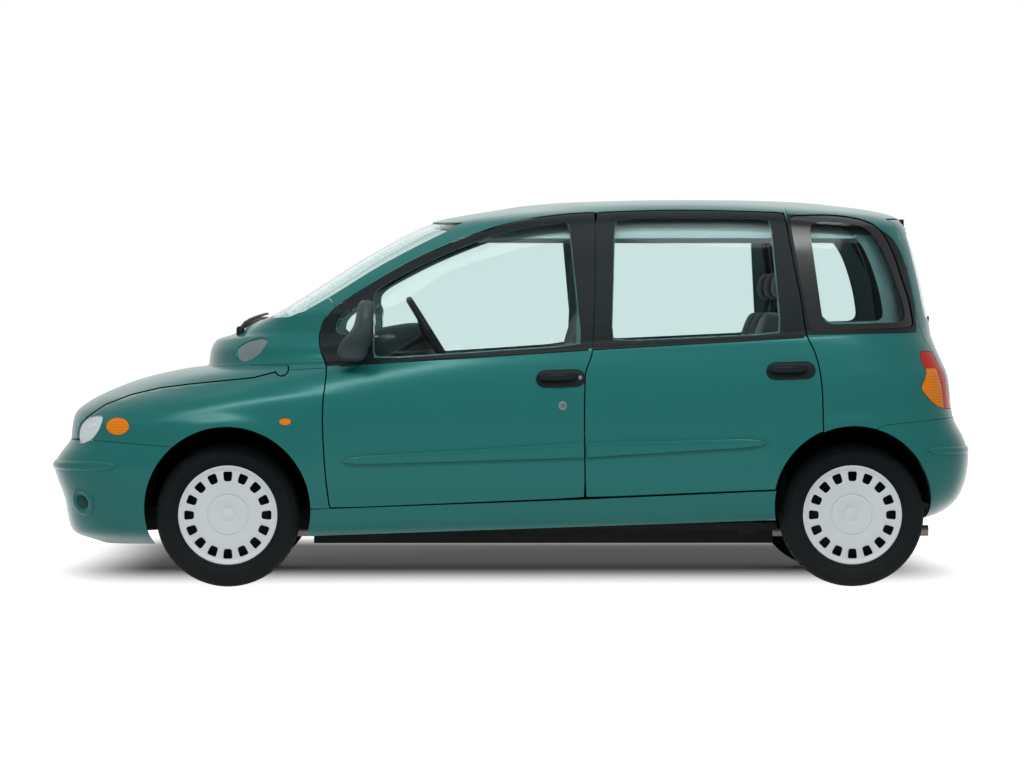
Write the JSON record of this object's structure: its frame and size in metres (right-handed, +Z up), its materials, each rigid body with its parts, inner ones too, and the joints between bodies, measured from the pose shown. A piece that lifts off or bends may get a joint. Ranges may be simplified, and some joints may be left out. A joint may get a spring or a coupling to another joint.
{
  "type": "compact minivan",
  "caption": "Green compact minivan with hinged doors, bonnet and tailgate, steered front wheels and rolling wheels.",
  "frame": {"origin": "on the ground, under the middle of the whole car", "axes": "+X towards the nose, +Y towards the left side, +Z up"},
  "size_m": [3.994, 2.0826, 1.67],
  "materials": {
    "paint": "gloss metallic",
    "glass": "tinted",
    "rubber": "matt",
    "silver": "satin",
    "trim": "matt",
    "cloth": "woven",
    "steel": "satin",
    "lamp": "clear",
    "amber": "clear",
    "red": "clear"
  },
  "bodies": {
    "body": {"floor_pan": "steel", "wheel_housings": "trim", "door_posts": "paint", "sills": "paint", "side_rails": "paint", "rear_quarters": "paint", "roof_panel": "paint", "cowl": "paint", "front_fenders": "paint", "front_bumper": "paint", "rear_bumper": "paint", "windscreen": "glass", "quarter_glass": "glass", "headlamps": "lamp", "indicators": "amber", "tail_lamps": "red", "dashboard": "trim", "front_seats": "cloth", "rear_seats": "cloth", "engine_block": "steel", "fuel_tank": "trim", "exhaust": "steel", "front_subframe": "steel", "rear_axle": "steel"},
    "bonnet": {"bonnet": "paint"},
    "tailgate": {"tailgate": "paint", "tailgate_glass": "glass"},
    "front_door_left": {"front_door_left": "paint", "front_pane_left": "glass", "mirror_left": "trim"},
    "front_door_right": {"front_door_right": "paint", "front_pane_right": "glass", "mirror_right": "trim"},
    "rear_door_left": {"rear_door_left": "paint", "rear_pane_left": "glass"},
    "rear_door_right": {"rear_door_right": "paint", "rear_pane_right": "glass"},
    "steering": {"steering_wheel": "trim"},
    "knuckle_left": {"knuckle_left": "steel"},
    "knuckle_right": {"knuckle_right": "steel"},
    "wheel_front_left": {"tyre_front_left": "rubber", "wheel_front_left": "silver"},
    "wheel_front_right": {"tyre_front_right": "rubber", "wheel_front_right": "silver"},
    "wheel_rear_left": {"tyre_rear_left": "rubber", "wheel_rear_left": "silver"},
    "wheel_rear_right": {"tyre_rear_right": "rubber", "wheel_rear_right": "silver"}
  },
  "joints": [
    {"name": "front_door_left_swing", "type": "hinge", "parent": "body", "child": "front_door_left", "pos_m": [0.75078, 0.91395, 0.6], "axis": [0, 0, -1], "range_deg": [0, 65]},
    {"name": "rear_door_left_swing", "type": "hinge", "parent": "body", "child": "rear_door_left", "pos_m": [-0.36354, 0.9205, 0.6], "axis": [0, 0, -1], "range_deg": [0, 65]},
    {"name": "front_door_right_swing", "type": "hinge", "parent": "body", "child": "front_door_right", "pos_m": [0.75078, -0.91395, 0.6], "axis": [0, 0, 1], "range_deg": [0, 65]},
    {"name": "rear_door_right_swing", "type": "hinge", "parent": "body", "child": "rear_door_right", "pos_m": [-0.36354, -0.9205, 0.6], "axis": [0, 0, 1], "range_deg": [0, 65]},
    {"name": "bonnet_lift", "type": "hinge", "parent": "body", "child": "bonnet", "pos_m": [0.99051, 0, 0.93], "axis": [0, -1, 0], "range_deg": [0, 40]},
    {"name": "tailgate_lift", "type": "hinge", "parent": "body", "child": "tailgate", "pos_m": [-1.71143, 0, 1.537], "axis": [0, 1, 0], "range_deg": [0, 80]},
    {"name": "steer_left", "type": "hinge", "parent": "body", "child": "knuckle_left", "pos_m": [1.219, 0.69, 0.3075], "axis": [0, 0, 1], "range_deg": [-32, 32]},
    {"name": "steer_right", "type": "hinge", "parent": "body", "child": "knuckle_right", "pos_m": [1.219, -0.69, 0.3075], "axis": [0, 0, 1], "range_deg": [-32, 32]},
    {"name": "steering_turn", "type": "hinge", "parent": "body", "child": "steering", "pos_m": [0.36, 0.44, 1.083], "axis": [-0.848, 0, 0.5299], "range_deg": [-480, 480]},
    {"name": "wheel_front_left_spin", "type": "hinge", "parent": "knuckle_left", "child": "wheel_front_left", "pos_m": [1.219, 0.755, 0.3075], "axis": [0, 1, 0], "continuous": true},
    {"name": "wheel_front_right_spin", "type": "hinge", "parent": "knuckle_right", "child": "wheel_front_right", "pos_m": [1.219, -0.755, 0.3075], "axis": [0, 1, 0], "continuous": true},
    {"name": "wheel_rear_left_spin", "type": "hinge", "parent": "body", "child": "wheel_rear_left", "pos_m": [-1.447, 0.755, 0.3075], "axis": [0, 1, 0], "continuous": true},
    {"name": "wheel_rear_right_spin", "type": "hinge", "parent": "body", "child": "wheel_rear_right", "pos_m": [-1.447, -0.755, 0.3075], "axis": [0, 1, 0], "continuous": true}
  ],
  "couplings": [
    {"joint": "steer_right", "follows": "steer_left", "ratio": 1},
    {"joint": "steering_turn", "follows": "steer_left", "ratio": 15}
  ]
}
